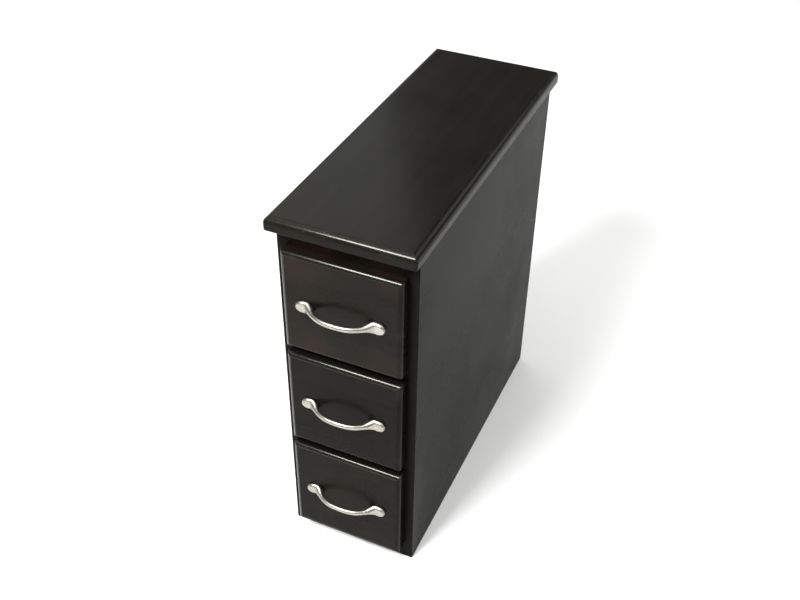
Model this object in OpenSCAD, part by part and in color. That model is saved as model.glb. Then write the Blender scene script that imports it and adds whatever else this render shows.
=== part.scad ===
// Narrow apothecary cabinet: a lacquered case with three drawers on telescopic slides.
// X runs across the front, -Y is the front, +Z is up, and the cabinet stands on Z = 0.

/* [Case] */
// Width of the case over its side panels
body_w = 184; // [170:1:240]
// Depth of the case from its front edge to its back
body_d = 475; // [460:1:600]
// Thickness of the side panels and the front rails
panel_t = 19; // [16:1:22]
// Height of the rails between two drawers
mid_rail_h = 19; // [16:1:24]
// Thickness of the back panel
back_t = 6; // [4:1:8]
// Thickness of the bottom panel
floor_t = 12; // [9:1:14]
// Thickness of the two stretchers under the top
stretcher_t = 15; // [12:1:18]
// Depth of each stretcher, front to back
stretcher_d = 60; // [40:1:80]

/* [Top] */
// Thickness of the top
top_t = 18; // [16:1:25]
// Radius rounded over the upper edge of the top
top_round = 9; // [3:0.5:12]
// Overhang of the top past each side panel
top_side_overhang = 5; // [2:1:20]
// Overhang of the top past the front of the case
top_front_overhang = 21; // [10:1:40]
// Overhang of the top past the back of the case
top_back_overhang = 20; // [0:1:30]

/* [Drawer fronts] */
// Width of a drawer front
front_w = 158; // [152:1:168]
// Thickness of a drawer front
front_t = 18; // [15:1:22]
// Radius rounded over the outer edge of a drawer front
front_round = 5; // [2:0.5:8]
// Gap between a closed drawer front and the case
front_standoff = 1; // [0.5:0.5:3]
// Height of the upper drawer front
upper_front_h = 146; // [120:1:200]
// Height of the middle drawer front
middle_front_h = 150; // [120:1:200]
// Height of the lower drawer front
lower_front_h = 154; // [120:1:200]
// Gap between one drawer front and the next
front_gap = 11; // [6:1:13]
// Part of the case that shows above the upper front
top_reveal = 24; // [15:1:40]
// Part of the case that shows below the lower front
bottom_reveal = 24; // [15:1:40]
// Part of a rail that a drawer front covers
front_overlap = 4; // [2:1:6]

/* [Drawer boxes] */
// Depth of a drawer box
box_d = 430; // [410:1:440]
// Thickness of the boards of a drawer box
box_board_t = 12; // [9:1:13]
// Thickness of the bottom of a drawer box
box_bottom_t = 5; // [4:1:6]
// Height of the drawer bottom above the lower edge of its box
box_bottom_rise = 10; // [8:1:14]
// Clear height under a drawer box
box_clear_below = 8; // [5:1:12]
// Clear height above a drawer box
box_clear_above = 12; // [8:1:20]

/* [Slides] */
// Length of a closed slide
slide_l = 400; // [350:5:405]
// Height of a slide
slide_h = 45; // [35:1:48]
// Thickness of a whole slide, from case to drawer box
slide_t = 12.7; // [12:0.1:14]
// Thickness of the slides' sheet steel
steel_t = 1.2; // [1:0.1:1.5]
// Running clearance between nested slide members
slide_gap = 0.4; // [0.3:0.1:0.6]

/* [Pulls] */
// Length of a pull over its two feet
pull_l = 118; // [112:1:130]
// How far a pull stands out of its drawer front
pull_out = 23; // [20:1:28]
// Height of a pull's foot
foot_h = 17; // [14:0.5:22]
// Height of the bow between the feet
bow_h = 7; // [6:0.5:9]
// Thickness of the bow
bow_t = 6; // [4:0.5:8]
// Distance between the two screws of a pull
pull_screw_spacing = 76; // [72:1:84]

/* [Hidden] */
$fn = 48;
LEVELS = ["upper", "middle", "lower"];
SIDES = ["left", "right"];
CASE_NODES = ["top_slab", "left_side", "right_side", "back_panel", "bottom_panel", "top_rail",
    "upper_mid_rail", "lower_mid_rail", "bottom_rail", "front_stretcher", "rear_stretcher",
    "dowels", "top_screws", "case_screws"];
DRAWER_NODES = ["front", "box_front", "box_left", "box_right", "box_back", "box_bottom", "pull",
    "pull_screws", "box_screws"];
SLIDE_NODES = ["outer_slide", "middle_slide", "inner_slide"];

// Colours of the real materials
LACQUER = [0.13, 0.11, 0.10];
DARK_LACQUER = [0.17, 0.13, 0.12];
BIRCH = [0.80, 0.66, 0.47];
PLYWOOD = [0.74, 0.60, 0.42];
NICKEL = [0.72, 0.70, 0.66];
ZINC = [0.66, 0.68, 0.70];

// Case
front_h = [upper_front_h, middle_front_h, lower_front_h];
body_h = top_reveal + front_h[0] + front_h[1] + front_h[2] + 2 * front_gap + bottom_reveal;
half_opening = body_w / 2 - panel_t;
overhang_y = front_standoff + front_t + pull_out;
y_face = (overhang_y - body_d - top_back_overhang) / 2; // front edge of the case, about the origin
back_y = y_face + body_d;
end_rail_h = [top_reveal + front_overlap, bottom_reveal + front_overlap];
rabbet_w = 9;
dado_depth = 6;

// Drawer fronts, from the upper one down
front_top = [for (i = 0, z = body_h - top_reveal; i < 3; z = z - front_h[i] - front_gap, i = i + 1) z];
front_bottom = [for (i = [0 : 2]) front_top[i] - front_h[i]];
front_y = y_face - front_standoff - front_t;
front_mid = [for (i = [0 : 2]) (front_top[i] + front_bottom[i]) / 2];
gap_mid = [for (i = [0 : 1]) front_bottom[i] - front_gap / 2];

// Rails, from the top down: lower and upper face of each
rail_z = [[body_h - end_rail_h[0], body_h],
    [gap_mid[0] - mid_rail_h / 2, gap_mid[0] + mid_rail_h / 2],
    [gap_mid[1] - mid_rail_h / 2, gap_mid[1] + mid_rail_h / 2],
    [0, end_rail_h[1]]];

// Drawer boxes
box_w = 2 * (half_opening - slide_t);
box_y = y_face - front_standoff;
box_low = [for (i = [0 : 2]) rail_z[i + 1][1] + box_clear_below];
box_high = [for (i = [0 : 2]) rail_z[i][0] - box_clear_above];
box_mid = [for (i = [0 : 2]) (box_low[i] + box_high[i]) / 2];
groove_depth = 5;
box_rabbet = box_board_t / 2;

// Slides: places across the thickness, from the case (0) to the drawer box (slide_t)
slide_setback = 2;
slide_y = y_face + slide_setback;
slide_end_margin = 28;
slide_screw_y = [slide_end_margin, slide_l / 2, slide_l - slide_end_margin];
head_room = 2.7; // space for the screw heads inside the outer member
web_room = 0.8; // space between the middle member's flanges and the inner web
middle_web = steel_t + head_room;
inner_web = slide_t - steel_t;
flange_reach = inner_web - web_room;
inner_reach = middle_web + steel_t + web_room;
member_step = steel_t + slide_gap; // step from one member's flange to the next

// Fasteners
screw_r = 1.75;
screw_head_r = 3.5;
screw_head_h = 2;
screw_l = 14;
top_screw_r = 2;
top_head_r = 4;
top_screw_l = 28;
dowel_r = 3;
dowel_l = 36;
dowel_in_panel = 12;
pull_screw_r = 2;
pull_thread = 5;
pull_screw_l = box_board_t + front_t + pull_thread;
pull_head_r = 4;
pull_head_h = 2.4;
box_screw_l = box_board_t - 1;
front_screw_l = 24;
front_screw_x = 40;
front_screw_drop = 38;
top_screw_x = 45;
dowel_z = [for (z = rail_z) (z[0] + z[1]) / 2];
stretcher_y = [y_face + panel_t, back_y - back_t - stretcher_d];
stretcher_dowel_y = [for (y = stretcher_y, part = [0.25, 0.75]) y + part * stretcher_d];
back_screw_margin = 60;
back_screw_z = [back_screw_margin, body_h / 2, body_h - back_screw_margin];
back_screw_x = body_w / 2 - panel_t + rabbet_w / 2;

// Pulls: s is the distance from the middle of a pull along its length
pull_half = pull_l / 2;
foot_tip = 11; // length of a foot's rounded tip
foot_tip_power = 2.4; // how square the tip is
foot_tip_blunt = 0.04; // how far the tip stays from closing to a point
foot_crown = 4.6; // thickness of a foot
foot_rim = 1.6; // thickness left at a foot's rim
foot_end_t = 2.1; // thickness of a foot at its very end
foot_back = 1.35; // spreads the points on the back of a foot to nearly its full height
facet = [pull_half - 23, pull_half - 9, pull_half - 1]; // where the flat facet starts, is widest and ends
facet_half_h = 5.6;
facet_ridge = 0.9; // half height left of the facet along the bow
neck = [30.5, 44]; // where the height grows from the bow's to the foot's
bevelled = [32, 46]; // where the round section of the bow turns into the bevels of a foot
arm_outer = 46; // where the outside of an arm rises from its foot
arm_inner = 35.5; // where the inside of an arm leaves the drawer front
outer_curve = [2.5, 1.08]; // powers that shape the outside of the bow
inner_curve = [3.4, 0.77]; // powers that shape the inside of the bow
PULL_RINGS = 48;

// A closed outline with a flat base at Y = 0 and both upper corners rounded
module rounded_edge_outline(w, t, r) {
    translate([-w / 2, 0]) square([w, t - r]);
    translate([r - w / 2, 0]) square([w - 2 * r, t]);
    for (side = [-1, 1]) translate([side * (w / 2 - r), t - r]) circle(r);
}

// A board whose upper face is rounded over along all four edges, centred on X and Y
module rounded_board(w, d, t, r) {
    intersection() {
        rotate([90, 0, 0])
            translate([0, 0, -d / 2]) linear_extrude(d) rounded_edge_outline(w, t, r);
        rotate([90, 0, 90])
            translate([0, 0, -w / 2]) linear_extrude(w) rounded_edge_outline(d, t, r);
    }
}

// A box from its lowest corner to its highest
module block(low, high) {
    translate(low) cube(high - low);
}

// A pan-head screw along +Z, with the underside of its head at Z = 0
module pan_screw(l, r, head_r = screw_head_r, head_h = screw_head_h) {
    cylinder(h = l, r = r);
    translate([0, 0, -head_h]) cylinder(h = head_h, r = head_r);
}

// Turns +Z to point along +X, for side = 1, or along -X, for side = -1
module along_x(side) {
    rotate([0, side * 90, 0]) children();
}

// ---- Case ----

module top_screw_places() {
    for (x = [-top_screw_x, top_screw_x], y = stretcher_y)
        translate([x, y + stretcher_d / 2, body_h - stretcher_t]) children();
}

module dowel_places(side) {
    inner = side * (half_opening + dowel_in_panel);
    for (z = dowel_z)
        translate([inner, y_face + panel_t / 2, z]) along_x(-side) children();
    for (y = stretcher_dowel_y)
        translate([inner, y, body_h - stretcher_t / 2]) along_x(-side) children();
}

module slide_screw_places(side) {
    for (z = box_mid, y = slide_screw_y)
        translate([side * (half_opening - steel_t), slide_y + y, z]) along_x(side) children();
}

module back_screw_places(side) {
    for (z = back_screw_z)
        translate([side * back_screw_x, back_y, z]) rotate([90, 0, 0]) children();
}

module top_slab() {
    w = body_w + 2 * top_side_overhang;
    d = body_d + top_front_overhang + top_back_overhang;
    color(LACQUER) difference() {
        translate([0, y_face - top_front_overhang + d / 2, body_h]) rounded_board(w, d, top_t, top_round);
        top_screw_places() cylinder(h = top_screw_l, r = top_screw_r);
    }
}

module side_panel(side) {
    inner_x = side * half_opening;
    outer_x = side * body_w / 2;
    color(LACQUER) difference() {
        block([min(inner_x, outer_x), y_face, 0], [max(inner_x, outer_x), back_y, body_h]);
        back_panel_blank();
        bottom_panel_blank();
        dowel_places(side) cylinder(h = dowel_l, r = dowel_r);
        slide_screw_places(side) cylinder(h = screw_l, r = screw_r);
        back_screw_places(side) cylinder(h = screw_l, r = screw_r);
    }
}

module back_panel_blank() {
    half = half_opening + rabbet_w;
    block([-half, back_y - back_t, 0], [half, back_y, body_h]);
}

module back_panel() {
    color(LACQUER) difference() {
        back_panel_blank();
        for (side = [-1, 1]) back_screw_places(side) cylinder(h = screw_l, r = screw_r);
    }
}

module bottom_panel_blank() {
    half = half_opening + dado_depth;
    block([-half, y_face + panel_t, rail_z[3][1] - floor_t], [half, back_y - back_t, rail_z[3][1]]);
}

module bottom_panel() {
    color(PLYWOOD) bottom_panel_blank();
}

module front_rail(i) {
    color(LACQUER) difference() {
        block([-half_opening, y_face, rail_z[i][0]], [half_opening, y_face + panel_t, rail_z[i][1]]);
        for (side = [-1, 1]) dowel_places(side) cylinder(h = dowel_l, r = dowel_r);
    }
}

module stretcher(y) {
    color(BIRCH) difference() {
        block([-half_opening, y, body_h - stretcher_t], [half_opening, y + stretcher_d, body_h]);
        for (side = [-1, 1]) dowel_places(side) cylinder(h = dowel_l, r = dowel_r);
        top_screw_places() cylinder(h = top_screw_l, r = top_screw_r);
    }
}

module dowels() {
    color(BIRCH) for (side = [-1, 1]) dowel_places(side) cylinder(h = dowel_l, r = dowel_r);
}

module top_screws() {
    color(ZINC) top_screw_places() pan_screw(top_screw_l, top_screw_r, top_head_r);
}

module case_screws() {
    color(ZINC) for (side = [-1, 1]) {
        slide_screw_places(side) pan_screw(screw_l, screw_r);
        back_screw_places(side) pan_screw(screw_l, screw_r);
    }
}

// ---- Slides ----

// Cross-section of a channel: web from web_x to web_x + steel_t, flanges reaching to far_x
module channel_outline(web_x, far_x, h) {
    low_x = min(web_x, far_x);
    translate([web_x, -h / 2]) square([steel_t, h]);
    for (z = [-h / 2, h / 2 - steel_t])
        translate([low_x, z]) square([max(web_x + steel_t, far_x) - low_x, steel_t]);
}

// A slide member on one side of one drawer, its outline drawn from the case towards the box
module slide_member(i, side) {
    translate([side * half_opening, slide_y + slide_l, box_mid[i]]) rotate([90, 0, 0])
        mirror([side > 0 ? 1 : 0, 0, 0]) linear_extrude(slide_l) children();
}

module outer_slide(i, side) {
    color(ZINC) difference() {
        slide_member(i, side) channel_outline(0, flange_reach, slide_h);
        slide_screw_places(side) translate([0, 0, -1]) cylinder(h = screw_l, r = screw_r);
    }
}

module middle_slide(i, side) {
    color(ZINC) slide_member(i, side)
        channel_outline(middle_web, flange_reach, slide_h - 2 * member_step);
}

module inner_slide(i, side) {
    color(ZINC) difference() {
        slide_member(i, side)
            channel_outline(inner_web, inner_reach, slide_h - 4 * member_step);
        box_slide_screw_places(i, side) cylinder(h = box_board_t, r = screw_r);
    }
}

// ---- Drawers ----

module pull_screw_places(i) {
    for (x = [-pull_screw_spacing / 2, pull_screw_spacing / 2])
        translate([x, box_y + box_board_t, front_mid[i]]) rotate([90, 0, 0]) children();
}

module front_screw_places(i) {
    for (x = [-front_screw_x, front_screw_x], z = [-front_screw_drop, front_screw_drop])
        translate([x, box_y + box_board_t, box_mid[i] + z]) rotate([90, 0, 0]) children();
}

module box_slide_screw_places(i, side) {
    for (y = slide_screw_y)
        translate([side * (box_w / 2 + steel_t), slide_y + y, box_mid[i]]) along_x(-side) children();
}

module drawer_front(i) {
    color(DARK_LACQUER) difference() {
        translate([0, front_y + front_t, front_mid[i]]) rotate([90, 0, 0])
            rounded_board(front_w, front_h[i], front_t, front_round);
        pull_screw_places(i) cylinder(h = pull_screw_l, r = pull_screw_r);
        front_screw_places(i) cylinder(h = front_screw_l, r = screw_r);
    }
}

// The whole space of a drawer's bottom panel, which its grooves are cut to
module box_bottom_blank(i) {
    half = box_w / 2 - box_board_t + groove_depth;
    block([-half, box_y + box_board_t - groove_depth, box_low[i] + box_bottom_rise],
        [half, box_y + box_d, box_low[i] + box_bottom_rise + box_bottom_t]);
}

// The boards at a box's front and back, let into rabbets in its sides
module box_end_blank(i, y, z) {
    half = box_w / 2 - box_rabbet;
    block([-half, y, z], [half, y + box_board_t, box_high[i]]);
}

module box_front(i) {
    color(BIRCH) difference() {
        box_end_blank(i, box_y, box_low[i]);
        box_bottom_blank(i);
        pull_screw_places(i) cylinder(h = pull_screw_l, r = pull_screw_r);
        front_screw_places(i) cylinder(h = front_screw_l, r = screw_r);
    }
}

module box_back(i) {
    color(BIRCH)
        box_end_blank(i, box_y + box_d - box_board_t, box_low[i] + box_bottom_rise + box_bottom_t);
}

module box_side(i, side) {
    inner_x = side * (box_w / 2 - box_board_t);
    outer_x = side * box_w / 2;
    color(BIRCH) difference() {
        block([min(inner_x, outer_x), box_y, box_low[i]],
            [max(inner_x, outer_x), box_y + box_d, box_high[i]]);
        box_end_blank(i, box_y, box_low[i]);
        box_end_blank(i, box_y + box_d - box_board_t, box_low[i] + box_bottom_rise + box_bottom_t);
        box_bottom_blank(i);
        box_slide_screw_places(i, side) cylinder(h = box_screw_l, r = screw_r);
    }
}

module box_bottom(i) {
    color(PLYWOOD) box_bottom_blank(i);
}

module pull_screws(i) {
    color(ZINC) pull_screw_places(i) pan_screw(pull_screw_l, pull_screw_r, pull_head_r, pull_head_h);
}

module box_screws(i) {
    color(ZINC) {
        front_screw_places(i) pan_screw(front_screw_l, screw_r);
        for (side = [-1, 1]) box_slide_screw_places(i, side) pan_screw(box_screw_l, screw_r);
    }
}

// ---- Pull ----

function ease(u) = let (v = max(0, min(1, u))) v * v * (3 - 2 * v);
function part_of(s, span) = (s - span[0]) / (span[1] - span[0]);
function mixed(w, a, b) = w * a + (1 - w) * b;
function foot_tip_part(s) = max(0, s - pull_half + foot_tip) / foot_tip;
function tip_round(s) =
    pow(max(foot_tip_blunt, 1 - pow(foot_tip_part(s), foot_tip_power)), 1 / foot_tip_power);
function pull_half_h(s) = tip_round(s) * mixed(ease(part_of(s, neck)), foot_h / 2, bow_h / 2);
// Half height of the flat facet, a leaf with its point on the arm and its round end at the tip
function facet_grown(s) = mixed(ease(part_of(s, facet)), facet_half_h, facet_ridge);
function facet_closed(s) =
    facet_half_h * sqrt(max(0.01, 1 - pow((s - facet[1]) / (facet[2] - facet[1]), 2)));
function facet_half(s) = min(0.95 * pull_half_h(s), s < facet[1] ? facet_grown(s) : facet_closed(s));
// A bow that is out high in the middle and 0 at the distance end
function bow(s, end, out, powers) = s > end ? 0 : out * pow(1 - pow(s / end, powers[0]), powers[1]);
function foot_face(s) =
    foot_crown - (foot_crown - foot_end_t) * max(0, s - facet[2]) / (pull_half - facet[2]);
function pull_outer(s) = foot_face(s) + bow(s, arm_outer, pull_out - foot_crown, outer_curve);
function pull_inner(s) = bow(s, arm_inner, pull_out - bow_t, inner_curve);
function pull_side(s, w) = mixed(w, (pull_inner(s) + pull_outer(s)) / 2, pull_inner(s) + foot_rim);
// Outer edge of a section, as depths and heights from the side to the middle of the front
function front_edge(s, w) =
    let (h = pull_half_h(s), side = pull_side(s, w), rise = pull_outer(s) - side)
    let (flat_h = facet_half(s), turn = acos(flat_h / h))
    concat([for (q = [0, 0.5, 1]) mixed(w, [side + rise * sin(turn * q), h * cos(turn * q)],
        [side + rise * q, h + (flat_h - h) * q])], [[side + rise, 0]]);
// Inner edge of a section, from the lower side round the back to the upper side
function back_edge(s, w) =
    let (h = pull_half_h(s), side = pull_side(s, w), inner = pull_inner(s))
    [for (turn = [45, 90, 135])
        [mixed(w, side - (side - inner) * sin(turn), inner), -cos(turn) * mixed(w, h, foot_back * h)]];
function pull_section(s) =
    let (w = 1 - ease(part_of(s, bevelled)), front = front_edge(s, w))
    concat(front, [for (k = [2, 1, 0]) [front[k][0], -front[k][1]]], back_edge(s, w));
function ring_x(k) = pull_half * sin(90 * (2 * k / PULL_RINGS - 1));
function pull_ring(x) = [for (p = pull_section(abs(x))) [x, -p[0], p[1]]];

module pull_solid() {
    n = len(pull_section(0));
    middle = len(front_edge(0, 1)) - 1; // each end face starts from its section's front
    points = [for (k = [0 : PULL_RINGS], p = pull_ring(ring_x(k))) p];
    polyhedron(points, concat(
        [[for (j = [0 : n - 1]) (j + middle) % n]],
        [for (k = [0 : PULL_RINGS - 1], j = [0 : n - 1])
            [k * n + j, (k + 1) * n + j, (k + 1) * n + (j + 1) % n, k * n + (j + 1) % n]],
        [[for (j = [0 : n - 1]) PULL_RINGS * n + (n + middle - j) % n]]));
}

module pull(i) {
    color(NICKEL) difference() {
        translate([0, front_y, front_mid[i]]) pull_solid();
        pull_screw_places(i) cylinder(h = pull_screw_l, r = pull_screw_r);
    }
}

top_slab();
side_panel(-1);  // left_side
side_panel(1);  // right_side
back_panel();
bottom_panel();
front_rail(0);  // top_rail
front_rail(1);  // upper_mid_rail
front_rail(2);  // lower_mid_rail
front_rail(3);  // bottom_rail
stretcher(stretcher_y[0]);  // front_stretcher
stretcher(stretcher_y[1]);  // rear_stretcher
dowels();
top_screws();
case_screws();
for (i = [0 : 2]) {
    drawer_front(i);
    box_front(i);
    box_side(i, -1);
    box_side(i, 1);
    box_back(i);
    box_bottom(i);
    pull(i);
    pull_screws(i);
    box_screws(i);
    for (s = [0, 1]) {
        name = str(LEVELS[i], "_", SIDES[s], "_");
        outer_slide(i, 2 * s - 1);
        middle_slide(i, 2 * s - 1);
        inner_slide(i, 2 * s - 1);
    }
}
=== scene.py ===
"""Looks of a narrow espresso-lacquered apothecary cabinet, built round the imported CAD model."""
import math

import bmesh
import bpy
from mathutils import Matrix, Vector


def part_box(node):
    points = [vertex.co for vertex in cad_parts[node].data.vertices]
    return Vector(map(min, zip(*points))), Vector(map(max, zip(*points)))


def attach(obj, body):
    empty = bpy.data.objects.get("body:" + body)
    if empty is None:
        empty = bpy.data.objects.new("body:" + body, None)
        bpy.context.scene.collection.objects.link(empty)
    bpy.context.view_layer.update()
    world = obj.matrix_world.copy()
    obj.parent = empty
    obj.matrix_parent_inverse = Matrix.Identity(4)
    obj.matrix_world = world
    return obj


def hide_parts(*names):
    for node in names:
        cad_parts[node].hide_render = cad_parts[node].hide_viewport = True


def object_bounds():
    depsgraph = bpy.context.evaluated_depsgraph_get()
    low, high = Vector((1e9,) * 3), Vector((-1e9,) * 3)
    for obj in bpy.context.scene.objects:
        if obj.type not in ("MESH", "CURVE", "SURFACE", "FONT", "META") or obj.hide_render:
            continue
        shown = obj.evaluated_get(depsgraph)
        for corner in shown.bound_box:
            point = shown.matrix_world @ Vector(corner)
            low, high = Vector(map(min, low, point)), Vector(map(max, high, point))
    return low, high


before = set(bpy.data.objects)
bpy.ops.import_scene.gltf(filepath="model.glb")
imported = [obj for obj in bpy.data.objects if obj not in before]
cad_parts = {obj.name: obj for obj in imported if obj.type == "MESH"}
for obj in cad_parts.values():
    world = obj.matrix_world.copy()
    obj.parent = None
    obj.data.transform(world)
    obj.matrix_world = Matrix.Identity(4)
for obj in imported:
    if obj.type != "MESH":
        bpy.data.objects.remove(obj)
cad_low, cad_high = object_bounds()

MM = 0.001
LEVELS = ("upper", "middle", "lower")
SIDES = (("left", -1), ("right", 1))

# ---------------------------------------------------------------- camera
AZIMUTH, ELEVATION, ROLL = 23.76, 38.03, 0.78
DISTANCE, LENS = 1.4653, 45.52
AIM_OFFSET = Vector((-0.0276, -0.0094, 0.0032))


def make_camera():
    """The camera looks at a point near the middle of the cabinet, from its front right and above."""
    data = bpy.data.cameras.new("camera")
    data.lens, data.clip_start, data.clip_end = LENS, 0.05, 50
    camera = bpy.data.objects.new("camera", data)
    bpy.context.collection.objects.link(camera)
    a, e = math.radians(AZIMUTH), math.radians(ELEVATION)
    back = Vector((math.sin(a) * math.cos(e), -math.cos(a) * math.cos(e), math.sin(e)))
    turn = (-back).to_track_quat("-Z", "Y").to_matrix().to_4x4()
    place = Matrix.Translation((cad_low + cad_high) / 2 + AIM_OFFSET + back * DISTANCE)
    camera.matrix_world = place @ turn @ Matrix.Rotation(math.radians(ROLL), 4, "Z")
    bpy.context.scene.camera = camera


# ---------------------------------------------------------------- material nodes
class Nodes:
    """A material's node tree, with short calls for the nodes used here."""

    def __init__(self, name):
        self.material = bpy.data.materials.new(name)
        self.material.use_nodes = True
        self.tree = self.material.node_tree
        self.bsdf = self.tree.nodes["Principled BSDF"]

    def add(self, kind, inputs=None, **settings):
        node = self.tree.nodes.new("ShaderNode" + kind)
        for key, value in settings.items():
            setattr(node, key, value)
        for key, value in (inputs or {}).items():
            self.feed(node.inputs[key], value)
        return node

    def feed(self, socket, value):
        if isinstance(value, bpy.types.NodeSocket):
            self.tree.links.new(value, socket)
        else:
            socket.default_value = value

    def set(self, **inputs):
        for key, value in inputs.items():
            self.feed(self.bsdf.inputs[key.replace("_", " ")], value)

    def place(self, scale=(1, 1, 1), offset=(0, 0, 0)):
        """Object coordinates, stretched by scale."""
        coords = self.add("TexCoord").outputs["Object"]
        mapping = self.add("Mapping", {"Vector": coords, "Scale": scale, "Location": offset})
        return mapping.outputs["Vector"]

    def noise(self, vector, scale, detail=4.0, roughness=0.5, distortion=0.0):
        return self.add("TexNoise", {"Vector": vector, "Scale": scale, "Detail": detail,
                                     "Roughness": roughness, "Distortion": distortion}).outputs["Fac"]

    def ramp(self, value, low, high, to_low=0.0, to_high=1.0):
        """Maps low..high to to_low..to_high, smoothly and within those ends."""
        return self.add("MapRange", {"Value": value, "From Min": low, "From Max": high, "To Min": to_low,
                                     "To Max": to_high}, interpolation_type="SMOOTHSTEP").outputs["Result"]

    def math(self, operation, a, b=0.0, c=0.0):
        node = self.add("Math", {0: a, 1: b, 2: c}, operation=operation)
        return node.outputs[0]

    def mix(self, factor, a, b, blend="MIX"):
        node = self.add("Mix", data_type="RGBA", blend_type=blend)
        self.feed(node.inputs[0], factor)
        self.feed(node.inputs[6], a)
        self.feed(node.inputs[7], b)
        return node.outputs[2]

    def bump(self, height, strength, distance, under=None):
        inputs = {"Height": height, "Strength": strength, "Distance": distance}
        if under is not None:
            inputs["Normal"] = under
        return self.add("Bump", inputs).outputs["Normal"]

    def edge(self):
        """1 on the eased edges of a board, 0 on its faces."""
        return self.add("Attribute", attribute_name="edge").outputs["Fac"]


def grain_scale(axis, across, along):
    """Scales that stretch a texture along one axis."""
    return tuple(along if letter == axis else across for letter in "XYZ")


def espresso_lacquer(name, axis, dark, light, warm=0.0, sheen=(0.20, 0.30), gloss=0.22):
    """Nearly black satin lacquer over close-grained wood: faint figure, soft haze and rubbed edges."""
    n = Nodes(name)
    fine = n.noise(n.place(grain_scale(axis, 260, 9)), 1.0, 5, 0.62)
    figure = n.noise(n.place(grain_scale(axis, 34, 3.2), (0.3, 1.7, 0.9)), 1.0, 4, 0.55, 1.4)
    blotch = n.noise(n.place((11, 11, 11), (0.2, 0.6, 0.4)), 1.0, 4, 0.55)
    tone = n.math("MULTIPLY_ADD", n.ramp(figure, 0.3, 0.72), 0.6, n.math("MULTIPLY", blotch, 0.4))
    tone = n.math("MULTIPLY_ADD", n.ramp(fine, 0.35, 0.7), 0.3, n.math("MULTIPLY", tone, 0.7))
    colour = n.mix(tone, (*dark, 1), (*light, 1))
    thin = n.ramp(blotch, 0.44, 0.66, 0.0, warm)
    colour = n.mix(thin, colour, (0.046, 0.020, 0.010, 1))
    rubbed = n.math("MULTIPLY", n.edge(), n.ramp(n.noise(n.place((1, 1, 1)), 42, 5), 0.55, 0.72, 0, 0.22))
    colour = n.mix(rubbed, colour, (0.035, 0.024, 0.017, 1))
    nicks = n.ramp(n.noise(n.place((1, 1, 1)), 230, 5, 0.6), 0.70, 0.73)
    chipped = n.math("MULTIPLY", n.math("MULTIPLY", n.edge(), nicks), 0.5)
    colour = n.mix(chipped, colour, (0.17, 0.13, 0.095, 1))
    specks = n.ramp(n.noise(n.place((1, 1, 1), (3, 2, 6)), 150, 2), 0.80, 0.83, 0, 0.5)
    colour = n.mix(specks, colour, (0.20, 0.18, 0.15, 1))
    haze = n.noise(n.place((3.1, 3.1, 3.1), (4, 2, 7)), 1.0, 5, 0.6)
    rough = n.ramp(haze, 0.34, 0.66, *sheen)
    rough = n.math("ADD", rough, n.math("MULTIPLY", n.ramp(blotch, 0.4, 0.7), 0.03))
    pores = n.bump(fine, 0.06, 0.0003)
    peel = n.bump(n.noise(n.place((1, 1, 1)), 330, 2), 0.015, 0.0003, pores)
    n.set(Base_Color=colour, Roughness=rough, Normal=peel)
    n.bsdf.inputs["Specular IOR Level"].default_value = gloss
    n.bsdf.inputs["Specular Tint"].default_value = (1.0, 1.0, 0.88, 1)
    return n.material


def bare_wood(name, axis, pale, deep, ply=False):
    """Clear-sealed birch, or birch plywood with its plies showing on the edges."""
    n = Nodes(name)
    fine = n.noise(n.place(grain_scale(axis, 420, 12)), 1.0, 5, 0.6)
    figure = n.noise(n.place(grain_scale(axis, 52, 3.0), (2.0, 0.4, 1.1)), 1.0, 5, 0.6, 2.2)
    rings = n.add("TexWave", {"Vector": n.place(grain_scale(axis, 1.0, 0.06)), "Scale": 26.0,
                              "Distortion": 9.0, "Detail": 3.0, "Detail Scale": 0.9},
                  wave_type="BANDS").outputs["Fac"]
    tone = n.math("MULTIPLY_ADD", n.ramp(figure, 0.3, 0.7), 0.5, n.math("MULTIPLY", rings, 0.3))
    tone = n.math("MULTIPLY_ADD", n.ramp(fine, 0.3, 0.75), 0.22, tone)
    colour = n.mix(tone, (*pale, 1), (*deep, 1))
    if ply:
        layers = n.add("TexWave", {"Vector": n.place((0, 0, 1)), "Scale": 210.0, "Distortion": 0.4},
                       wave_type="BANDS", bands_direction="Z").outputs["Fac"]
        colour = n.mix(n.math("MULTIPLY", n.edge(), n.ramp(layers, 0.4, 0.6, 0, 0.6)), colour,
                       (deep[0] * 0.5, deep[1] * 0.45, deep[2] * 0.4, 1))
    worn = n.math("MULTIPLY", n.edge(), n.ramp(n.noise(n.place((1, 1, 1)), 60, 5), 0.4, 0.7))
    colour = n.mix(n.math("MULTIPLY", worn, 0.35), colour, (deep[0] * 0.7, deep[1] * 0.6, deep[2] * 0.5, 1))
    n.set(Base_Color=colour, Roughness=n.ramp(figure, 0.3, 0.7, 0.42, 0.56),
          Normal=n.bump(fine, 0.22, 0.0004))
    return n.material


def satin_nickel(name):
    """Brushed and lacquered nickel plate, warm grey, with fine lines along the bow and soft stains."""
    n = Nodes(name)
    lines = n.noise(n.place((60, 1300, 1300)), 1.0, 4, 0.6)
    cloud = n.noise(n.place((1, 1, 1)), 70, 5, 0.6)
    colour = n.mix(n.ramp(cloud, 0.35, 0.7), (0.38, 0.365, 0.32, 1), (0.31, 0.295, 0.255, 1))
    tarnish = n.ramp(n.noise(n.place((1, 1, 1)), 330, 4), 0.62, 0.74, 0, 0.4)
    colour = n.mix(tarnish, colour, (0.19, 0.175, 0.14, 1))
    rough = n.math("MULTIPLY_ADD", lines, 0.10, n.ramp(cloud, 0.3, 0.7, 0.27, 0.35))
    n.set(Base_Color=colour, Roughness=rough, Normal=n.bump(lines, 0.05, 0.0002))
    n.bsdf.inputs["Metallic"].default_value = 1.0
    return n.material


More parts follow.
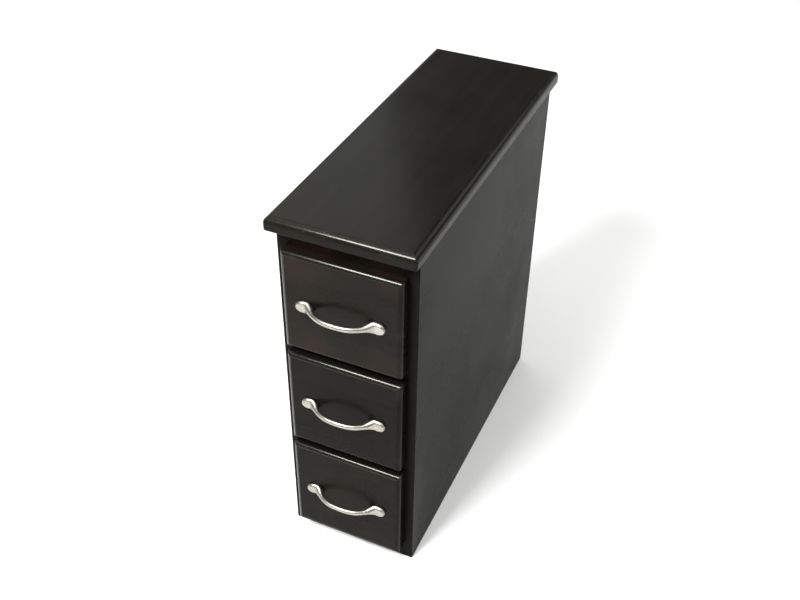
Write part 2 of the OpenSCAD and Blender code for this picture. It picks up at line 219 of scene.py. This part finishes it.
def zinc_steel(name):
    """Bright zinc plate on rolled steel, with its spangle, drawn lines and grease smears."""
    n = Nodes(name)
    spangle = n.add("TexVoronoi", {"Vector": n.place((1, 0.5, 1)), "Scale": 330.0}).outputs["Color"]
    grey = n.add("RGBToBW", {"Color": spangle}).outputs["Val"]
    drawn = n.noise(n.place((2400, 26, 2400)), 1.0, 3, 0.6)
    smear = n.noise(n.place((30, 9, 30)), 1.0, 4, 0.6, 0.8)
    colour = n.mix(n.ramp(grey, 0.1, 0.9), (0.36, 0.375, 0.395, 1), (0.43, 0.445, 0.46, 1))
    colour = n.mix(n.ramp(smear, 0.55, 0.75, 0, 0.35), colour, (0.30, 0.295, 0.28, 1))
    rough = n.math("MULTIPLY_ADD", grey, 0.08, n.ramp(smear, 0.4, 0.7, 0.24, 0.44))
    n.set(Base_Color=colour, Roughness=rough, Normal=n.bump(drawn, 0.08, 0.0002))
    n.bsdf.inputs["Metallic"].default_value = 1.0
    return n.material


# ---------------------------------------------------------------- mesh helpers
def finish_piece(piece, node, body, material):
    """Gives a new piece its material and body, and lets it stand for its CAD node."""
    bpy.context.collection.objects.link(piece)
    piece.data.materials.append(material)
    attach(piece, body)
    if node:
        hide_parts(node)
    return piece


def second_material(piece, material, chosen):
    """Puts another material on the chosen faces of a piece."""
    piece.data.materials.append(material)
    for face in piece.data.polygons:
        if chosen(face):
            face.material_index = 1


def mesh_object(name, bm):
    """Turns a bmesh into an object that isn't linked yet."""
    mesh = bpy.data.meshes.new(name)
    bm.normal_update()
    bm.to_mesh(mesh)
    bm.free()
    return bpy.data.objects.new(name, mesh)


def prism(outline, axis, low, high, radius, segments=3):
    """An outline extruded along an axis from low to high, with every edge eased to radius.

    The outline's points are (u, v) in the two other axes, in X, Y, Z order. Eased faces are smooth and
    carry edge = 1 for the materials.
    """
    bm = bmesh.new()
    index = "XYZ".index(axis)
    rings = []
    for level in (low, high):
        rings.append([bm.verts.new(Vector((*p[:index], level, *p[index:]))) for p in outline])
    bm.faces.new(rings[0])
    bm.faces.new(rings[1])
    count = len(outline)
    for i in range(count):
        j = (i + 1) % count
        bm.faces.new((rings[0][i], rings[0][j], rings[1][j], rings[1][i]))
    bmesh.ops.recalc_face_normals(bm, faces=bm.faces)
    eased = bmesh.ops.bevel(bm, geom=list(bm.edges), offset=radius, segments=segments, affect="EDGES",
                            profile=0.5, clamp_overlap=True)
    mark_edges(bm, set(eased["faces"]))
    return bm


def mark_edges(bm, faces):
    """Smooths the eased faces and gives them edge = 1 for the materials."""
    layer = bm.loops.layers.float.new("edge")
    for face in bm.faces:
        face.smooth = face in faces
        for loop in face.loops:
            loop[layer] = 1.0 if face in faces else 0.0


def rectangle(u, v):
    return [(u[0], v[0]), (u[1], v[0]), (u[1], v[1]), (u[0], v[1])]


def board(name, node, body, material, radius=0.8 * MM):
    """A plain board with eased edges in the place of a CAD node."""
    low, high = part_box(node)
    bm = prism(rectangle((low.x, high.x), (low.y, high.y)), "Z", low.z, high.z, radius)
    return finish_piece(mesh_object(name, bm), node, body, material)


def routed_board(size, plan_radius, top_radius, bottom_radius, steps=12, corner_steps=6):
    """A board centred on X and Y from Z = 0, its upper edge rounded over by a router bit.

    Rings of rounded rectangles climb the edge: each ring is moved in from the outline as the quarter
    circle asks, and its corners keep what is left of the plan radius.
    """
    w, d, t = size
    rings = []
    for k in range(steps // 2 + 1):
        turn = math.pi / 2 * k / (steps // 2)
        rings.append((bottom_radius * (1 - math.sin(turn)), bottom_radius * (1 - math.cos(turn))))
    for k in range(steps + 1):
        turn = math.pi / 2 * k / steps
        rings.append((top_radius * (1 - math.cos(turn)), t - top_radius * (1 - math.sin(turn))))
    bm = bmesh.new()
    loops = []
    for inset, z in rings:
        half_w, half_d = w / 2 - inset, d / 2 - inset
        r = max(plan_radius - inset, 0.25 * plan_radius)
        loop = []
        for quarter, (sx, sy) in enumerate(((1, 1), (-1, 1), (-1, -1), (1, -1))):
            for k in range(corner_steps + 1):
                turn = math.pi / 2 * (quarter + k / corner_steps)
                loop.append(bm.verts.new((sx * (half_w - r) + r * math.cos(turn),
                                          sy * (half_d - r) + r * math.sin(turn), z)))
        loops.append(loop)
    eased = set()
    for a, b in zip(loops, loops[1:]):
        for i in range(len(a)):
            j = (i + 1) % len(a)
            eased.add(bm.faces.new((a[i], a[j], b[j], b[i])))
    bm.faces.new(list(reversed(loops[0])))
    bm.faces.new(loops[-1])
    bm.normal_update()
    flat = {f for f in eased if abs(f.normal.z) < 0.02 and f.calc_area() > 1e-4}
    mark_edges(bm, eased - flat)
    return bm


# ---------------------------------------------------------------- case
TOP_PLAN_RADIUS, TOP_ROUND, TOP_UNDER_ROUND = 3.5 * MM, 9 * MM, 1.2 * MM
FRONT_PLAN_RADIUS, FRONT_ROUND, FRONT_BACK_ROUND = 1.8 * MM, 6.5 * MM, 0.8 * MM


def make_case(mat):
    """Top slab, grooved sides, back, floor, rails and stretchers."""
    low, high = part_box("top_slab")
    bm = routed_board(high - low, TOP_PLAN_RADIUS, TOP_ROUND, TOP_UNDER_ROUND)
    bmesh.ops.translate(bm, verts=bm.verts, vec=((low.x + high.x) / 2, (low.y + high.y) / 2, low.z))
    piece = finish_piece(mesh_object("top_board", bm), "top_slab", "case", mat["top"])
    second_material(piece, mat["edge"], lambda face: face.normal.z < 0.3)

    back_low, back_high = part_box("back_panel")
    for side, sign in SIDES:
        low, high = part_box(side + "_side")
        outer, inner = (low.x, high.x) if sign < 0 else (high.x, low.x)
        step = back_low.x if sign < 0 else back_high.x
        outline = [(outer, low.y), (inner, low.y), (inner, back_low.y), (step, back_low.y),
                   (step, high.y), (outer, high.y)]
        bm = prism(outline, "Z", low.z, high.z, 0.9 * MM)
        finish_piece(mesh_object(side + "_panel", bm), side + "_side", "case", mat["side"])

    board("back_board", "back_panel", "case", mat["back"], 0.5 * MM)
    board("floor_board", "bottom_panel", "case", mat["ply"], 0.4 * MM)
    for node in ("top_rail", "upper_mid_rail", "lower_mid_rail", "bottom_rail"):
        board(node + "_board", node, "case", mat["rail"], 0.5 * MM)
    for node in ("front_stretcher", "rear_stretcher"):
        board(node + "_board", node, "case", mat["birch_x"], 0.6 * MM)


# ---------------------------------------------------------------- drawers
def make_front(level, mat):
    """One overlay drawer front: a routed board stood on edge."""
    node = level + "_front"
    low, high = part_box(node)
    size = Vector((high.x - low.x, high.z - low.z, high.y - low.y))
    bm = routed_board(size, FRONT_PLAN_RADIUS, FRONT_ROUND, FRONT_BACK_ROUND)
    middle = (low + high) / 2
    turn = Matrix.Rotation(math.pi / 2, 4, "X")
    place = Matrix.Translation((middle.x, high.y, middle.z))
    bmesh.ops.transform(bm, matrix=place @ turn, verts=bm.verts)
    piece = mesh_object(level + "_face", bm)
    finish_piece(piece, node, level + "_drawer", mat["face_" + level])
    second_material(piece, mat["polished"], polished_edge)


def polished_edge(face):
    """The rounded upper and left edges of a drawer front, which hands and cloths have polished."""
    return face.use_smooth and face.normal.y < -0.1 and (face.normal.z > 0.1 or face.normal.x < -0.1)


def make_box(level, mat):
    """The five boards of one drawer box; its sides are rebated for the ends."""
    body = level + "_drawer"
    end_low, end_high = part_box(level + "_box_front")
    back_low, back_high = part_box(level + "_box_back")
    for side, sign in SIDES:
        node = level + "_box_" + side
        low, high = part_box(node)
        outer, inner = (low.x, high.x) if sign < 0 else (high.x, low.x)
        step = end_low.x if sign < 0 else end_high.x
        outline = [(outer, low.y), (step, low.y), (step, end_high.y), (inner, end_high.y),
                   (inner, back_low.y), (step, back_low.y), (step, high.y), (outer, high.y)]
        bm = prism(outline, "Z", low.z, high.z, 0.7 * MM)
        finish_piece(mesh_object(node + "_board", bm), node, body, mat["birch_y"])
    board(level + "_box_front_board", level + "_box_front", body, mat["birch_x"], 0.7 * MM)
    board(level + "_box_back_board", level + "_box_back", body, mat["birch_x"], 0.7 * MM)
    board(level + "_box_bottom_board", level + "_box_bottom", body, mat["ply"], 0.3 * MM)


# ---------------------------------------------------------------- pulls
# Distances along the pull are from its middle. The foot is the spoon at each end, the neck joins it to
# the bow, and the facet is the flat leaf on the foot.
PULL_RINGS, SIDE_STEPS, FACET_STEPS, BACK_STEPS = 160, 7, 3, 8
FOOT_TIP, FOOT_POWER = 11 * MM, 2.4
FOOT_CROWN, FOOT_RIM, FOOT_END = 4.6 * MM, 1.6 * MM, 2.1 * MM
FACET = (36 * MM, 50 * MM, 58 * MM)
FACET_HALF, RIDGE_HALF = 5.6 * MM, 0.9 * MM
NECK, BEVELLED = (30.5 * MM, 44 * MM), (32 * MM, 46 * MM)
ARM_OUTER, ARM_INNER = 46 * MM, 35.5 * MM
ARM_OUTER_CURVE, ARM_INNER_CURVE = (2.5, 1.08), (3.4, 0.77)
BEVEL_BELLY = 0.35 * MM
CRISP_FROM = 38 * MM
BOW_HALF, BOW_T = 3.5 * MM, 6 * MM


def ease(value, span):
    """0 before the span, 1 after it, and a smooth step between."""
    u = max(0.0, min(1.0, (value - span[0]) / (span[1] - span[0])))
    return u * u * (3 - 2 * u)


def mixed(w, a, b):
    """a where w is 1, b where it is 0."""
    return w * a + (1 - w) * b


def bow(s, end, out, powers):
    """The bow's height above the drawer front at a distance s from the middle of the pull."""
    return 0.0 if s >= end else out * (1 - (s / end) ** powers[0]) ** powers[1]


def facet_half(s):
    """Half height of the flat facet: a leaf with its point on the arm and its round end at the tip."""
    if s < FACET[1]:
        return mixed(ease(s, FACET), FACET_HALF, RIDGE_HALF) if s > FACET[0] else RIDGE_HALF
    closing = min(1.0, (s - FACET[1]) / (FACET[2] - FACET[1]))
    return FACET_HALF * math.sqrt(max(0.01, 1 - closing ** 2))


def pull_ring(x, half_length, out, foot_half):
    """One section of the pull, and where its two creases lie: round on the bow, bevelled on a foot."""
    s = abs(x)
    tip = max(0.0, s - half_length + FOOT_TIP) / FOOT_TIP
    half = mixed(ease(s, NECK), foot_half, BOW_HALF)
    half *= max(0.04, 1 - tip ** FOOT_POWER) ** (1 / FOOT_POWER)
    flat = min(0.95 * half, facet_half(s))
    face = FOOT_CROWN - (FOOT_CROWN - FOOT_END) * max(0.0, s - FACET[2]) / (half_length - FACET[2])
    outer = face + bow(s, ARM_OUTER, out - FOOT_CROWN, ARM_OUTER_CURVE)
    inner = bow(s, ARM_INNER, out - BOW_T, ARM_INNER_CURVE)
    w = 1 - ease(s, BEVELLED)
    side = mixed(w, (inner + outer) / 2, inner + FOOT_RIM)
    crease = math.acos(flat / half)
    edge = []
    for k in range(SIDE_STEPS + 1):
        q = k / SIDE_STEPS
        belly = BEVEL_BELLY * math.sin(math.pi * q)
        rise = side + (outer - side) * q + belly
        edge.append((mixed(w, side + (outer - side) * math.sin(crease * q), rise),
                     mixed(w, half * math.cos(crease * q), half + (flat - half) * q + belly)))
    for k in range(1, FACET_STEPS + 1):
        turn = mixed(k / FACET_STEPS, math.pi / 2, crease)
        edge.append((mixed(w, side + (outer - side) * math.sin(turn), outer),
                     mixed(w, half * math.cos(turn), flat * (1 - k / FACET_STEPS))))
    edge += [(depth, -height) for depth, height in reversed(edge[:-1])]
    for k in range(1, BACK_STEPS):
        turn = math.pi * k / BACK_STEPS
        across = abs(math.cos(turn))
        spread = mixed(w, half, min(1.0, 1.35 * across) / max(1e-6, across) * half)
        edge.append((mixed(w, side - (side - inner) * math.sin(turn), inner), -math.cos(turn) * spread))
    return [Vector((x, -depth, height)) for depth, height in edge]


def make_pull(level, mat):
    """One bow pull, skinned over its sections from tip to tip."""
    node = level + "_pull"
    low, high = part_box(node)
    half_length, out, foot_half = (high.x - low.x) / 2, high.y - low.y, (high.z - low.z) / 2
    bm = bmesh.new()
    rings = []
    for k in range(PULL_RINGS + 1):
        x = half_length * math.sin(math.pi / 2 * (2 * k / PULL_RINGS - 1))
        rings.append([bm.verts.new(p) for p in pull_ring(x, half_length, out, foot_half)])
    count = len(rings[0])
    creases = (SIDE_STEPS, SIDE_STEPS + 2 * FACET_STEPS)
    for a, b in zip(rings, rings[1:]):
        for i in range(count):
            j = (i + 1) % count
            bm.faces.new((a[i], a[j], b[j], b[i])).smooth = True
        for i in creases:
            crisp = max(abs(a[i].co.x), abs(b[i].co.x)) > CRISP_FROM
            bm.edges.get((a[i], b[i])).smooth = not crisp
    for ring in (rings[0], rings[-1]):
        bm.faces.new(ring)
    bmesh.ops.recalc_face_normals(bm, faces=bm.faces)
    bmesh.ops.translate(bm, verts=bm.verts, vec=(0, high.y, (low.z + high.z) / 2))
    piece = mesh_object(level + "_bow_pull", bm)
    finish_piece(piece, node, level + "_drawer", mat["nickel"])


# ---------------------------------------------------------------- stage
FLOOR_SIZE, FLOOR_GAP = 14, 0.4 * MM
OVERHEAD_STRENGTH, OVERHEAD_ANGLE = 1.7, math.radians(70)
WORLD_LOW, WORLD_HIGH, WORLD_RISE = 0.62, 0.12, 0.30


def make_stage():
    """The floor, the pale surroundings and the lights."""
    bpy.ops.mesh.primitive_plane_add(size=FLOOR_SIZE, location=(0, 0, -FLOOR_GAP))
    floor = bpy.context.object
    floor.name = "floor"
    n = Nodes("pale_floor")
    cloud = n.noise(n.place((1, 1, 1)), 1.2, 3)
    n.set(Base_Color=n.mix(cloud, (0.90, 0.90, 0.90, 1), (0.925, 0.925, 0.92, 1)), Roughness=0.75)
    floor.data.materials.append(n.material)

    make_world()
    add_light("key", (-0.50, -1.50, 2.05), (0, -0.1, 0.3), 0.74, 0.56, 84)
    add_light("front_soft", (-0.9, -2.6, 2.3), (0, -0.2, 0.3), 2.6, 2.0, 8)
    add_light("back_left_glow", (-2.3, 2.3, 2.9), (0, 0, 0.5), 2.6, 2.2, 14)
    add_light("right_glow", (2.2, -1.2, 1.7), (0, 0, 0.2), 2.4, 2.0, 12)
    add_light("top_wash", (1.5, 0.5, 3.2), (0.5, 0.3, 0), 3.2, 2.6, 24)
    add_light("far_wash", (1.7, 3.4, 3.0), (0.4, 2.4, 0), 2.4, 2.0, 14)
    add_overhead()


def add_overhead():
    """Wide, even light from straight above, which keeps the floor pale right out to the horizon."""
    data = bpy.data.lights.new("overhead", "SUN")
    data.energy, data.angle = OVERHEAD_STRENGTH, OVERHEAD_ANGLE
    light = bpy.data.objects.new("overhead", data)
    bpy.context.collection.objects.link(light)
    light.location = (0, 0, 4)


def make_world():
    """A pale horizon that dims quickly with height, so only low views see it."""
    world = bpy.data.worlds.new("studio")
    world.use_nodes = True
    bpy.context.scene.world = world
    tree = world.node_tree
    coords = tree.nodes.new("ShaderNodeTexCoord")
    parts = tree.nodes.new("ShaderNodeSeparateXYZ")
    ramp = tree.nodes.new("ShaderNodeMapRange")
    ramp.interpolation_type = "SMOOTHSTEP"
    for key, value in (("From Min", 0.0), ("From Max", WORLD_RISE), ("To Min", WORLD_LOW),
                       ("To Max", WORLD_HIGH)):
        ramp.inputs[key].default_value = value
    background = tree.nodes["Background"]
    background.inputs["Color"].default_value = (1.0, 1.0, 0.96, 1)
    tree.links.new(coords.outputs["Generated"], parts.inputs[0])
    tree.links.new(parts.outputs["Z"], ramp.inputs["Value"])
    tree.links.new(ramp.outputs["Result"], background.inputs["Strength"])


def add_light(name, place, target, width, height, power):
    """A soft rectangular light at place, facing target; sizes in metres, power in watts."""
    data = bpy.data.lights.new(name, "AREA")
    data.shape, data.size, data.size_y, data.energy = "RECTANGLE", width, height, power
    light = bpy.data.objects.new(name, data)
    bpy.context.collection.objects.link(light)
    light.location = place
    light.rotation_mode = "QUATERNION"
    light.rotation_quaternion = (Vector(target) - Vector(place)).to_track_quat("-Z", "Y")


# ---------------------------------------------------------------- build
def make_materials():
    """All finishes by short name; each one is made once and shared."""
    dark, light = (0.0028, 0.0026, 0.0021), (0.0068, 0.0062, 0.0048)
    return {
        "top": espresso_lacquer("espresso_top", "Y", dark, light, 0.0, (0.17, 0.26)),
        # The side copy is lighter than the top and fronts as painted light: its colour stands in for the
        # pale floor that the side panels reflect, and their gloss is turned down to match.
        "side": espresso_lacquer("espresso_side_painted_light", "Z", (0.0050, 0.0047, 0.0037), (0.0088, 0.0083, 0.0064),
                                 gloss=0.018),
        # The rail copy is lighter and browner than the rest as painted light: its colour and strong warm
        # tint stand in for the front light falling on the rail faces under the slab.
        "rail": espresso_lacquer("espresso_rail_painted_light", "X", (0.0056, 0.0042, 0.0032), (0.0125, 0.0090, 0.0066),
                                 0.3, gloss=0.10),
        "back": espresso_lacquer("espresso_back", "Z", dark, light, 0.1, (0.36, 0.48), 0.2),
        "face_upper": espresso_lacquer("espresso_face_upper", "X", dark, (0.0085, 0.0064, 0.0044), 0.14,
                                       gloss=0.080),
        "face_middle": espresso_lacquer("espresso_face_middle", "X", dark, light, 0.03, gloss=0.054),
        "face_lower": espresso_lacquer("espresso_face_lower", "X", dark, light, 0.08, gloss=0.054),
        "edge": espresso_lacquer("espresso_edge", "X", dark, light, 0.02, gloss=0.075),
        "polished": espresso_lacquer("espresso_polished", "X", dark, light, 0.0, (0.15, 0.22), 0.26),
        "birch_x": bare_wood("birch_across", "X", (0.66, 0.49, 0.31), (0.50, 0.335, 0.19)),
        "birch_y": bare_wood("birch_lengthways", "Y", (0.66, 0.49, 0.31), (0.50, 0.335, 0.19)),
        "ply": bare_wood("birch_plywood", "Y", (0.62, 0.45, 0.28), (0.47, 0.31, 0.17), ply=True),
        "nickel": satin_nickel("satin_nickel_plate"),
        "zinc": zinc_steel("zinc_plate"),
    }


make_camera()
make_stage()
MATERIALS = make_materials()
make_case(MATERIALS)
for drawer_level in LEVELS:
    make_front(drawer_level, MATERIALS)
    make_box(drawer_level, MATERIALS)
    make_pull(drawer_level, MATERIALS)
for node_name, node_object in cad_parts.items():
    if "slide" in node_name or "screws" in node_name:
        node_object.data.materials.clear()
        node_object.data.materials.append(MATERIALS["zinc"])
bpy.context.scene.view_settings.view_transform = "Standard"
